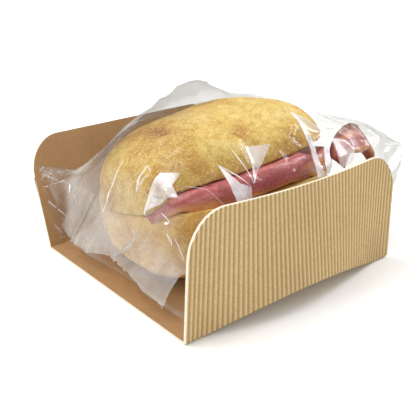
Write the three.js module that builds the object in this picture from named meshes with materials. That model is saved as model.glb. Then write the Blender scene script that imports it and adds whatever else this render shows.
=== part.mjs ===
// A takeaway sandwich pack: a folded fluted-board tray, a clear film bag, and the filled roll inside it.
// Millimetres, +Z up. X runs along the two walls and Y across, from the near wall to the far wall.
import * as THREE from 'three';

// Board tray
const TRAY_LENGTH = 130;         // along the walls
const TRAY_WIDTH = 117.4;        // between the two creases, at the open ends
const BOARD = 1.2;               // board thickness, flutes left out
const FLUTE_PITCH = 2.4;         // crest to crest
const FLUTE_DEPTH = 0.4;         // groove to crest
const WALL_HEIGHT = 58.5;        // from crease to top edge
const NEAR_LEAN = 0.75;          // degrees outward from upright
const FAR_LEAN = 22.9;           // degrees outward, pushed out by the roll
const CREASE_BOW = 9.8;          // how far a crease bulges sideways at mid length
const BASE_ARCH = 10.1;          // how far the base rises at mid length
const TOP_BOW = 2.9;             // how far a wall's top edge bulges sideways
const TOP_DIP = 0.9;             // how far a wall's top edge sags
const END_TAPER = 2.4;           // each end of a wall leans in by this much
const CORNER_LENGTH = 19;        // rounded top corner, measured along the wall
const CORNER_HEIGHT = 20.6;      // rounded top corner, measured up the wall
const FOOT_LENGTH = 8;           // flat strip of base at each open end
const FOLD = 1.0;                // outer bevel of a crease
const ARCH_POWER = 1.35;         // how quickly the arch leaves the feet

// Clear film bag
const FILM = 0.4;                // film thickness as modelled
const GAP = 0.3;                 // running clearance between pieces that rest on each other
const BAG_NEAR_CLEARANCE = 0.9;  // extra, film to the near wall
const BAG_FAR_CLEARANCE = 0.5;   // extra, film to the far wall
const BAG_HEAD_ROOM = 1.6;       // film above the top of the roll
const BAG_FLOOR_CLEARANCE = 0.4; // extra, where the film spans the arch of the base
const BAG_ROLL_CLEARANCE = 0.5;  // extra, where its facets span the round of the roll
const BAG_STEP = 5;              // facets along the bag
const BAG_FACETS = 4;            // facets from one drawn point of a ring to the next

// Bread roll
const ROLL_X = 4;                // middle of the roll along the tray
const CROWN_LENGTH = 116;
const CROWN_WIDTH = 77;
const CROWN_HEIGHT = 29.5;
const CROWN_Y = 4;               // the top half sits back towards the far wall
const CROWN_TILT = 13;           // degrees, near side up
const CROWN_ROLL = 3.7;          // degrees, sealed end up
const HEEL_LENGTH = 116;
const HEEL_WIDTH = 92;
const HEEL_HEIGHT = 29.8;
const HEEL_Y = 1;
const HEEL_SLOPE = 6;            // degrees, its cut face falls towards the far wall
const CROWN_PROFILE = 2.1;       // 2 is a round dome, more is squarer
const CROWN_PLAN = 2.4;
const HEEL_PROFILE = 3.6;
const HEEL_PLAN = 2.8;
const FILLING_GAP = 7;           // cut face to cut face at the middle of the top half

// Bacon rashers
const RASHER_LAYERS = 3;
const RASHER_WAVE = 1;           // ripple of a rasher's long edges
const RASHER_THICKNESS = 3;      // the loose rasher at the sealed end
const CURL_REACH = 24;           // how far it sticks out of the stack
const CURL_RISE = 18.5;          // how high it stands over the heel's cut face

const radians = (degrees) => degrees * Math.PI / 180;
const { sin, cos, tan, abs, sign, sqrt, max, min, PI } = Math;
const halfLength = TRAY_LENGTH / 2;
const halfWidth = TRAY_WIDTH / 2;
const leanOf = (side) => radians(side < 0 ? NEAR_LEAN : FAR_LEAN);

// Builds one closed mesh from shared vertices and triangles.
function solid(name, points, triangles, material) {
  const geometry = new THREE.BufferGeometry();
  geometry.setAttribute('position', new THREE.Float32BufferAttribute(points.flat(), 3));
  geometry.setIndex(triangles.flat());
  geometry.computeVertexNormals();
  const mesh = new THREE.Mesh(geometry, material);
  mesh.name = name;
  return mesh;
}

function finish(color, roughness, metalness = 0, opacity = 1) {
  return new THREE.MeshStandardMaterial({ color, roughness, metalness, opacity, transparent: opacity < 1 });
}

// Two triangles between neighbouring points of two rings.
const quad = (a, b, c, d) => [[a, b, c], [a, c, d]];

// Share of the full arch at a place u along the tray, -1 to 1: none over the feet, all at mid length.
function archShare(u) {
  const reach = 1 - FOOT_LENGTH / halfLength;
  const w = min(1, abs(u) / reach);
  return (1 - w * w) ** ARCH_POWER;
}

const baseTop = (x) => BASE_ARCH * archShare(x / halfLength) + BOARD;

// Outer face of a wall at height share t, as [y, z], with y measured outward from the middle.
function wallFace(side, u, t) {
  const lean = leanOf(side);
  const share = archShare(u);
  return [
    halfWidth + sin(lean) * WALL_HEIGHT * t + (CREASE_BOW * (1 - t) + TOP_BOW * t) * share,
    cos(lean) * WALL_HEIGHT * t + (BASE_ARCH * (1 - t) - TOP_DIP * t) * share,
  ];
}

// Height share of the wall's top edge, lower over the two rounded corners.
function topShare(u) {
  const into = abs(u) * halfLength - (halfLength - CORNER_LENGTH);
  if (into <= 0) return 1;
  const drop = CORNER_HEIGHT * (1 - sqrt(max(0, 1 - (into / CORNER_LENGTH) ** 2)));
  return 1 - drop / WALL_HEIGHT;
}

// Height of the flute surface, from 0 in a groove to 1 on a crest.
function fluteWave(u) {
  const turns = abs(u * halfLength) / FLUTE_PITCH;
  return 2 * abs(turns - Math.floor(turns) - 0.5);
}

// Places along the tray: every crest and groove, with more where the corners turn.
function trayStations() {
  const stations = [0, halfLength];
  for (let s = FLUTE_PITCH / 2; s < halfLength - FLUTE_PITCH / 4; s += FLUTE_PITCH / 2) stations.push(s);
  for (let angle = 60; angle < 90; angle += 7) {
    stations.push(halfLength - CORNER_LENGTH * (1 - sin(radians(angle))));
  }
  const sorted = stations.sort((p, q) => p - q).filter((s, i, all) => i === 0 || s - all[i - 1] > 0.12);
  const mirrored = sorted.slice(1).reverse().map((s) => -s);
  return [...mirrored, ...sorted].map((s) => s / halfLength);
}

// The tray's section at one place: round the outside from the near wall's top to the far wall's,
// and back inside.
function traySection(u) {
  const share = archShare(u);
  const floor = BASE_ARCH * share;
  const crease = halfWidth + CREASE_BOW * share;
  const ridge = FLUTE_DEPTH * fluteWave(u);
  const place = (side, y, z, t) => [u * (halfLength - END_TAPER * t), side * y, z];
  const wall = (side) => {
    const t1 = topShare(u);
    const t0 = FOLD / WALL_HEIGHT;
    const [yLow, zLow] = wallFace(side, u, t0);
    const [yTop, zTop] = wallFace(side, u, t1);
    const length = Math.hypot(yTop - yLow, zTop - zLow);
    const [ny, nz] = [(zTop - zLow) / length, -(yTop - yLow) / length];
    const slope = (yTop - yLow) / (zTop - zLow);
    const innerY = yLow + (floor + BOARD - zLow) * slope - BOARD / ny;
    return {
      topOut: place(side, yTop + ny * ridge, zTop + nz * ridge, t1),
      lowOut: place(side, yLow + ny * ridge, zLow + nz * ridge, 0),
      base: place(side, crease - FOLD, floor, 0),
      corner: place(side, innerY, floor + BOARD, 0),
      topIn: place(side, yTop - ny * BOARD, zTop - nz * BOARD, t1),
    };
  };
  const near = wall(-1);
  const far = wall(1);
  return [
    near.topOut, near.lowOut, near.base, far.base, far.lowOut,
    far.topOut, far.topIn, far.corner, near.corner, near.topIn,
  ];
}

function cardTray() {
  const sections = trayStations().map(traySection);
  const count = sections[0].length;
  const triangles = [];
  for (let i = 0; i + 1 < sections.length; i++) {
    for (let j = 0; j < count; j++) {
      const k = (j + 1) % count;
      triangles.push(...quad(i * count + j, i * count + k, (i + 1) * count + k, (i + 1) * count + j));
    }
  }
  const last = (sections.length - 1) * count;
  const cap = [...quad(0, 9, 8, 1), [1, 8, 2], ...quad(2, 8, 7, 3), [3, 7, 4], ...quad(4, 7, 6, 5)];
  for (const [a, b, c] of cap) {
    triangles.push([a, b, c], [last + a, last + c, last + b]);
  }
  return solid('card_tray', sections.flat(), triangles, finish(0xc3a06f, 0.85));
}

// The cut faces that the filling lies between.
const heelFloor = BASE_ARCH + BOARD + 2 * GAP + BAG_FLOOR_CLEARANCE + FILM;
const heelTop = heelFloor + HEEL_HEIGHT;
const crownFloorMiddle = heelTop + FILLING_GAP;
function heelFace(y) {
  return heelTop - tan(radians(HEEL_SLOPE)) * (y - HEEL_Y);
}

function crownFloor(x, y) {
  const rise = tan(radians(CROWN_ROLL)) * (x - ROLL_X) - tan(radians(CROWN_TILT)) * (y - CROWN_Y);
  return crownFloorMiddle + rise;
}

const power = (value, exponent) => sign(value) * abs(value) ** exponent;

// Half a roll: a dome on a flat cut face, oblong with rounded sides in plan.
// The slope is how much the cut face's edge rises for each millimetre across.
function halfRoll(name, [length, width, height], profile, plan, slope, material) {
  const rings = 9;
  const segments = 40;
  const points = [];
  const triangles = [];
  for (let i = 0; i < rings; i++) {
    const rise = i / rings * PI / 2;
    const reach = cos(rise) ** (2 / profile);
    for (let j = 0; j < segments; j++) {
      const turn = j / segments * 2 * PI;
      const y = width / 2 * reach * power(sin(turn), 2 / plan);
      const up = sin(rise) ** (2 / profile);
      points.push([length / 2 * reach * power(cos(turn), 2 / plan), y, height * up + slope * y * (1 - up)]);
    }
  }
  const pole = points.push([0, 0, height]) - 1;
  const centre = points.push([0, 0, 0]) - 1;
  for (let j = 0; j < segments; j++) {
    const k = (j + 1) % segments;
    for (let i = 0; i + 1 < rings; i++) {
      const low = i * segments;
      const high = low + segments;
      triangles.push(...quad(low + j, low + k, high + k, high + j));
    }
    triangles.push([(rings - 1) * segments + j, (rings - 1) * segments + k, pole], [k, j, centre]);
  }
  return solid(name, points, triangles, material);
}

function bunCrown() {
  const size = [CROWN_LENGTH, CROWN_WIDTH, CROWN_HEIGHT];
  const mesh = halfRoll('bun_crown', size, CROWN_PROFILE, CROWN_PLAN, 0, finish(0xdcb15c, 0.8));
  mesh.rotation.set(radians(-CROWN_TILT), radians(-CROWN_ROLL), 0, 'YXZ');
  mesh.position.set(ROLL_X, CROWN_Y, crownFloorMiddle);
  return mesh;
}

function bunHeel() {
  const size = [HEEL_LENGTH, HEEL_WIDTH, HEEL_HEIGHT];
  const slope = -tan(radians(HEEL_SLOPE));
  const mesh = halfRoll('bun_heel', size, HEEL_PROFILE, HEEL_PLAN, slope, finish(0xd9b071, 0.85));
  mesh.rotation.x = PI;
  mesh.position.set(ROLL_X - 2, HEEL_Y, heelTop);
  return mesh;
}

// A closed strip: a grid of upper and lower points, u along it and v across it.
function strip(name, along, across, upper, lower, material) {
  const points = [];
  const triangles = [];
  for (const face of [upper, lower]) {
    for (let i = 0; i <= along; i++) {
      for (let j = 0; j <= across; j++) points.push(face(i / along, j / across));
    }
  }
  const row = across + 1;
  const under = (along + 1) * row;
  for (let i = 0; i < along; i++) {
    for (let j = 0; j < across; j++) {
      const a = i * row + j;
      triangles.push(...quad(a, a + row, a + row + 1, a + 1));
      triangles.push(...quad(under + a, under + a + 1, under + a + row + 1, under + a + row));
    }
  }
  for (let i = 0; i < along; i++) {
    const a = i * row;
    const b = a + across;
    triangles.push(...quad(a, under + a, under + a + row, a + row));
    triangles.push(...quad(b, b + row, under + b + row, under + b));
  }
  for (let j = 0; j < across; j++) {
    const a = j;
    const b = along * row + j;
    triangles.push(...quad(a, a + 1, under + a + 1, under + a));
    triangles.push(...quad(b, under + b, under + b + 1, b + 1));
  }
  return solid(name, points, triangles, material);
}

// One rasher of the stack, its reach in percent of the heel's length and width.
// It fills its share of the wedge between the two cut faces.
function rasher(name, layer, reachX, reachY, color) {
  const [x0, x1] = reachX.map((share) => share / 100 * HEEL_LENGTH);
  const [nearY, farY] = reachY.map((share) => share / 100 * HEEL_WIDTH);
  const level = (x, y, share) => {
    const low = heelFace(y) + GAP;
    const high = crownFloor(x, y) - GAP;
    const thickness = (high - low - GAP * (RASHER_LAYERS - 1)) / RASHER_LAYERS;
    return low + layer * (thickness + GAP) + share * thickness;
  };
  const face = (share) => (u, v) => {
    const x = x0 + (x1 - x0) * u;
    const y = nearY + (farY - nearY) * v + RASHER_WAVE * sin(u * 5 * PI + layer);
    return [x, y, level(x, y, share)];
  };
  return strip(name, 26, 4, face(1), face(0), finish(color, 0.4));
}

// The rasher that sticks out at the sealed end and curls over.
function curledRasher() {
  const startX = 0.45 * HEEL_LENGTH + GAP;
  const nearY = -0.36 * HEEL_WIDTH;
  const farY = -0.24 * HEEL_WIDTH;
  const at = (along, up) => new THREE.Vector3(startX + along * CURL_REACH, 0, heelTop + up * CURL_RISE);
  const stops = [at(0.06, 0.36), at(0.45, 1), at(0.78, 1), at(0.96, 0.72), at(1, 0.3)];
  const route = new THREE.CatmullRomCurve3(stops);
  const face = (offset) => (u, v) => {
    const p = route.getPoint(u);
    const d = route.getTangent(u);
    return [p.x - d.z * offset, nearY + (farY - nearY) * v, p.z + d.x * offset];
  };
  const half = RASHER_THICKNESS / 2;
  return strip('bacon_rasher_curled', 14, 3, face(half), face(-half), finish(0x9c4636, 0.4));
}

// The bag's form, in percent: x of half the tray's length, y of half its width, z of the bag's own height.
// Each ring runs from the near edge of its floor up the near side, over the top and down the far side.
// The first is the mouth, flattened into a slit that climbs the far wall, and the last is the sealed end.
const BAG_RINGS = [
  { x: -94.6, ring: [
    [-59.6, 4.2], [-63, 6.6], [-59.6, 9.3], [-34.1, 10], [0, 10.3], [34.1, 10.3],
    [64.7, 11], [85.2, 18.3], [109, 44], [116.7, 42.8], [97.1, 12.2], [80.1, 4.2],
  ] },
  { x: -92.6, ring: [
    [-64.7, 3.4], [-71.6, 9.8], [-73.3, 22], [-64.7, 33], [-42.6, 40.3], [-13.6, 45.2],
    [23.9, 46.5], [64.7, 45.2], [98.8, 47.7], [110.7, 41.6], [97.1, 14.7], [83.5, 3.4],
  ] },
  { x: -88.5, ring: [
    [-69.8, 3.1], [-78.4, 12.2], [-82.6, 31.8], [-76.7, 49.8], [-59.6, 62.4], [-29, 71.2],
    [6.8, 73], [40.9, 65], [75, 51.3], [100.5, 42.8], [95.4, 14.7], [85.2, 3.1],
  ] },
  { x: -76.9, ring: [
    [-76.7, 0], [-85.2, 14.7], [-88.6, 36.7], [-83.5, 56.2], [-66.4, 71.5], [-34.1, 83],
    [3.4, 86.2], [35.8, 78.8], [68.1, 61.9], [95.4, 46.5], [93.7, 15.9], [83.5, 0],
  ] },
  { x: -56.9, ring: [
    [-78.4, 0], [-88.6, 22], [-90.3, 41.6], [-86, 59.9], [-69.8, 75], [-40.9, 89],
    [1.7, 94.4], [35.8, 88.6], [68.1, 71.2], [95.4, 51.3], [93.7, 22], [83.5, 0],
  ] },
  { x: -35.4, ring: [
    [-78.4, 0], [-90.3, 24.4], [-92, 42.8], [-86.9, 61.1], [-71.6, 77], [-42.6, 92.9],
    [1.7, 98.4], [35.8, 94.1], [66.4, 82.5], [95.4, 53.8], [95.4, 24.4], [83.5, 0],
  ] },
  { x: -15.4, ring: [
    [-78.4, 0], [-90.3, 25.7], [-92, 44], [-87.7, 61.1], [-71.6, 78.2], [-42.6, 94.1],
    [1.7, 100.9], [35.8, 99], [64.7, 91.7], [97.1, 58.7], [97.1, 25.7], [83.5, 0],
  ] },
  { x: 21.5, ring: [
    [-78.4, 0], [-90.3, 25.7], [-92, 44], [-87.7, 61.1], [-71.6, 78.2], [-42.6, 94.7],
    [1.7, 100], [34.1, 102], [61.3, 101], [97.1, 62.3], [97.1, 25.7], [83.5, 0],
  ] },
  { x: 46.2, ring: [
    [-78.4, 0], [-90.3, 24.4], [-92, 42.8], [-87.7, 61.1], [-71.6, 77.6], [-42.6, 92.9],
    [1.7, 96.4], [35.8, 92.2], [61.3, 82], [95.4, 56.2], [95.4, 24.4], [83.5, 0],
  ] },
  { x: 69.2, ring: [
    [-78.4, 0], [-88.6, 22], [-92, 41.6], [-87.7, 59.9], [-71.6, 75.2], [-42.6, 88],
    [1.7, 92.5], [32.4, 87.6], [59.6, 75], [92, 51.3], [90.3, 22], [80.1, 0],
  ] },
  { x: 89.2, ring: [
    [-76.7, 0], [-86.9, 17.1], [-90.3, 37.9], [-86.9, 59.9], [-71.6, 73.5], [-42.6, 83],
    [-1.7, 83.1], [27.3, 77], [54.5, 66], [81.8, 47.7], [81.8, 17.1], [71.6, 0],
  ] },
  { x: 107.7, ring: [
    [-69.8, 9.8], [-81.8, 22], [-86.9, 41.6], [-84.3, 59.9], [-71.6, 73.4], [-46, 81.2],
    [-11.9, 75.8], [17, 68], [37.5, 59.9], [57.9, 44], [57.9, 24.4], [47.7, 11],
  ] },
  { x: 127.7, ring: [
    [-63, 26.9], [-75, 34.2], [-81.8, 46.5], [-80.1, 61.1], [-69.8, 69], [-51.1, 72.6],
    [-23.9, 70.6], [3.4, 63.6], [20.4, 57.5], [34.1, 46.5], [30.7, 35.5], [17, 26.9],
  ] },
  { x: 141.5, ring: [
    [-51.1, 29.3], [-64.7, 35.5], [-73.3, 46.5], [-73.3, 58.7], [-68.1, 64.8], [-54.5, 63.4],
    [-37.5, 61], [-20.4, 57.5], [-8.5, 49.5], [-5.1, 40.3], [-13.6, 30.6], [-30.7, 25.7],
  ] },
  { x: 152.3, ring: [
    [-51.1, 34.2], [-57.9, 40.3], [-64.7, 51.3], [-65.6, 57.5], [-62.2, 59.3], [-57.9, 56.8],
    [-52.8, 50.7], [-47.7, 44], [-42.6, 37.9], [-39.2, 33], [-40.9, 30.6], [-46, 30.6],
  ] },
];

// A point on a smooth curve through q and r, between their neighbours.
function through(p, q, r, s, t) {
  const bend = (2 * p - 5 * q + 4 * r - s) * t * t + (3 * q - p - 3 * r + s) * t ** 3;
  return q + 0.5 * ((r - p) * t + bend);
}

const bagTop = crownFloorMiddle + CROWN_HEIGHT + BAG_HEAD_ROOM;
const bagStretch = max(1, max(HEEL_LENGTH, CROWN_LENGTH) / (TRAY_LENGTH - 14));

const heel = bunHeel();
const crown = bunCrown();
const rollHalves = [
  { mesh: heel, size: [HEEL_LENGTH, HEEL_WIDTH, HEEL_HEIGHT], profile: HEEL_PROFILE, plan: HEEL_PLAN },
  { mesh: crown, size: [CROWN_LENGTH, CROWN_WIDTH, CROWN_HEIGHT], profile: CROWN_PROFILE, plan: CROWN_PLAN },
];
for (const half of rollHalves) {
  half.mesh.updateMatrix();
  half.inverse = half.mesh.matrix.clone().invert();
}

// True where a point comes within the clearance of either half of the roll.
function touchesRoll(x, y, z) {
  const clearance = GAP + FILM + BAG_ROLL_CLEARANCE;
  return rollHalves.some(({ inverse, size: [length, width, height], profile, plan }) => {
    const local = new THREE.Vector3(x, y, z).applyMatrix4(inverse);
    if (local.z < -clearance) return false;
    const acrossX = (abs(local.x) / (length / 2 + clearance)) ** plan;
    const acrossY = (abs(local.y) / (width / 2 + clearance)) ** plan;
    return (acrossX + acrossY) ** (profile / plan) + (max(0, local.z) / (height + clearance)) ** profile < 1;
  });
}

// Keeps a point of the bag off the tray and outside the roll.
function settle(x, y, z) {
  const inside = abs(x) < halfLength;
  const floor = (inside ? baseTop(x) : BOARD) + GAP + BAG_FLOOR_CLEARANCE;
  const height = max(z, floor);
  let [outY, outZ] = [y, height];
  for (let step = 0; step < 60 && touchesRoll(x, outY, outZ); step++) {
    const reach = Math.hypot(outY - HEEL_Y, outZ - heelTop);
    outY += (outY - HEEL_Y) / reach * 0.4;
    outZ = max(floor, outZ + (outZ - heelTop) / reach * 0.4);
  }
  const side = outY < 0 ? -1 : 1;
  const [wallY] = wallFace(side, min(1, abs(x) / halfLength), outZ / (cos(leanOf(side)) * WALL_HEIGHT));
  const clearance = side < 0 ? BAG_NEAR_CLEARANCE : BAG_FAR_CLEARANCE;
  const limit = wallY - (BOARD + GAP + clearance) / cos(leanOf(side));
  if (inside && outZ < WALL_HEIGHT) outY = side * min(abs(outY), limit);
  return new THREE.Vector3(x, outY, outZ);
}

// The bag's rings, with places between the drawn ones both along it and round it.
function bagRings() {
  const keys = BAG_RINGS.map(({ x, ring }) => ({
    x: x / 100 * halfLength * bagStretch,
    ring: ring.map(([y, z]) => [y / 100 * halfWidth, z / 100 * bagTop]),
  }));
  const rings = [];
  for (let i = 0; i + 1 < keys.length; i++) {
    const [p, q, r, s] = [max(0, i - 1), i, i + 1, min(keys.length - 1, i + 2)].map((n) => keys[n]);
    const steps = max(1, Math.round((r.x - q.x) / BAG_STEP));
    for (let k = 0; k < steps; k++) {
      const t = k / steps;
      const x = q.x + (r.x - q.x) * t;
      rings.push({ x, ring: q.ring.map((point, n) => point.map((value, c) => (
        through(p.ring[n][c], value, r.ring[n][c], s.ring[n][c], t)))) });
    }
  }
  rings.push(keys[keys.length - 1]);
  return rings.map(({ x, ring }) => {
    const count = ring.length;
    const points = [];
    for (let n = 0; n < count; n++) {
      const [p, q, r, s] = [n + count - 1, n, n + 1, n + 2].map((m) => ring[m % count]);
      for (let k = 0; k < BAG_FACETS; k++) {
        const t = k / BAG_FACETS;
        points.push(settle(x, through(p[0], q[0], r[0], s[0], t), through(p[1], q[1], r[1], s[1], t)));
      }
    }
    return points.reverse();
  });
}

function filmBag() {
  const rings = bagRings();
  const stations = rings.length;
  const around = rings[0].length;
  const outer = rings.flat();
  const at = (i, j) => outer[i * around + (j + around) % around];
  const inward = (i, j) => {
    const along = at(min(i + 1, stations - 1), j).clone().sub(at(max(i - 1, 0), j));
    const round = at(i, j + 1).clone().sub(at(i, j - 1));
    return along.cross(round).normalize();
  };
  const inner = outer.map((point, n) => {
    const i = Math.floor(n / around);
    const step = inward(i, n % around).multiplyScalar(FILM);
    if (i === stations - 1) step.x = -2 * FILM;
    return point.clone().add(step);
  });
  const points = [...outer, ...inner].map((p) => [p.x, p.y, p.z]);
  const inside = outer.length;
  const triangles = [];
  for (let j = 0; j < around; j++) {
    const k = (j + 1) % around;
    for (let i = 0; i + 1 < stations; i++) {
      const [a, b] = [i * around, (i + 1) * around];
      triangles.push(...quad(a + j, a + k, b + k, b + j));
      triangles.push(...quad(inside + a + j, inside + b + j, inside + b + k, inside + a + k));
    }
    triangles.push(...quad(k, j, inside + j, inside + k));
  }
  const last = (stations - 1) * around;
  for (const [start, flip] of [[last, false], [inside + last, true]]) {
    for (let j = 1; j + 1 < around; j++) {
      triangles.push(flip ? [start, start + j + 1, start + j] : [start, start + j, start + j + 1]);
    }
  }
  return solid('film_bag', points, triangles, finish(0xf2f4f5, 0.08, 0, 0.3));
}

const group = new THREE.Group();
group.add(cardTray());
group.add(filmBag());
group.add(heel);
group.add(crown);
group.add(rasher('bacon_rasher_lower', 0, [-40, 45], [-49, -8], 0xb0553f));
group.add(rasher('bacon_rasher_middle', 1, [-40, 40], [-46, 2], 0x9a4146));
group.add(rasher('bacon_rasher_upper', 2, [-35, 39], [-40, 8], 0xa34a48));
group.add(curledRasher());

// The origin is the middle of the whole pack's footprint, on the table.
const box = new THREE.Box3().setFromObject(group);
const middle = box.getCenter(new THREE.Vector3());
group.position.set(-middle.x, -middle.y, -box.min.z);
group.updateMatrixWorld(true);

export default group;
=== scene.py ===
import math
import random

import bmesh
import bpy
from mathutils import Matrix, Vector, noise
from mathutils.bvhtree import BVHTree


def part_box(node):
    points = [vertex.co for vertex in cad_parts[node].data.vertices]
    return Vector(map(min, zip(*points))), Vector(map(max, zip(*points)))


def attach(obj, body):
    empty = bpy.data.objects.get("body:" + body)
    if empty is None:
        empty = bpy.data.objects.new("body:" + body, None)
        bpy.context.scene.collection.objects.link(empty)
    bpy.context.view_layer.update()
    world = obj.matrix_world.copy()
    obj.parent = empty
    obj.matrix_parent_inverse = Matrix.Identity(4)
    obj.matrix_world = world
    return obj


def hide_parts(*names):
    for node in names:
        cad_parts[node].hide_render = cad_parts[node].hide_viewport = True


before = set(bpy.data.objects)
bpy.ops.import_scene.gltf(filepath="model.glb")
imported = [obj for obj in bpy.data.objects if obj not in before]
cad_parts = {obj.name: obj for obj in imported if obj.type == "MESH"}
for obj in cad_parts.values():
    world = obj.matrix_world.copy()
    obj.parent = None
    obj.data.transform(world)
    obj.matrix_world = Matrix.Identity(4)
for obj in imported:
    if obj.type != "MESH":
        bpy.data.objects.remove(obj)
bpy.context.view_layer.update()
MM = 0.001

# Sizes and places are in mm, in the tray's own frame, whose origin is under the middle of the base.
# SHIFT takes it to the row frame.
HEEL_Y = 1.0
tray_low, tray_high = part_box("card_tray")
heel_low, heel_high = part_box("bun_heel")
SHIFT = Vector((
    (tray_low[0] + tray_high[0]) / 2 / MM,
    (heel_low[1] + heel_high[1]) / 2 / MM - HEEL_Y,
    0.0,
))

# Board tray, as in the part's source.
LENGTH = 130.0
WIDTH = 117.4
BOARD = 1.2
PITCH = 2.4
FLUTE = 0.4
WALL = 58.5
# Side -1 is near, 1 is far.
LEAN = {-1: math.radians(0.75), 1: math.radians(22.9)}
BOW = 9.8
ARCH = 10.1
TOP_BOW = 2.9
TOP_DIP = 0.9
TAPER = 2.4
CORNER_L = 19.0
CORNER_H = 20.6
FOOT = 8.0
FOLD = 1.0
POWER = 1.35
HALF_L = LENGTH / 2
HALF_W = WIDTH / 2

# Roll.
GAP = 0.3
FILM = 0.4
ROLL_X = 4.0
ROLL_PLAN = 2.4
FLOOR_CLEARANCE = 0.4
HEEL_H = 29.8
HEEL_SLOPE = math.tan(math.radians(6))
HEEL_TOP = ARCH + BOARD + 2 * GAP + FLOOR_CLEARANCE + FILM + HEEL_H
FILLING = 7.0
CROWN_Y = 4.0
CROWN_H = 29.5
CROWN_W = 77.0
CROWN_Z = HEEL_TOP + FILLING
CROWN_TILT = math.radians(13)
CROWN_ROLL = math.radians(3.7)
HEAD_ROOM = 1.6
BAG_TOP = CROWN_Z + CROWN_H + HEAD_ROOM


def row(p):
    """A point of the tray's frame, in mm, in the row frame, in metres."""
    return (Vector(p) + SHIFT) * MM


def lerp(a, b, t):
    return a + (b - a) * t


def smooth(a, b, x):
    t = min(1.0, max(0.0, (x - a) / (b - a)))
    return t * t * (3 - 2 * t)


def power(v, e):
    return math.copysign(abs(v) ** e, v)


def placed(name, data):
    """A new object in the scene with the given mesh, light or camera."""
    obj = bpy.data.objects.new(name, data)
    bpy.context.scene.collection.objects.link(obj)
    return obj


def make(name, points, faces, materials, attributes, picks=None):
    """A smooth mesh object from points in the tray's frame, in mm."""
    mesh = bpy.data.meshes.new(name)
    mesh.from_pydata([tuple(row(p)) for p in points], [], faces)
    for material in materials:
        mesh.materials.append(material)
    if picks:
        mesh.polygons.foreach_set("material_index", picks)
    for key, values in attributes.items():
        mesh.attributes.new(key, "FLOAT", "POINT").data.foreach_set("value", values)
    mesh.validate()
    mesh.shade_smooth()
    return placed(name, mesh)


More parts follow.
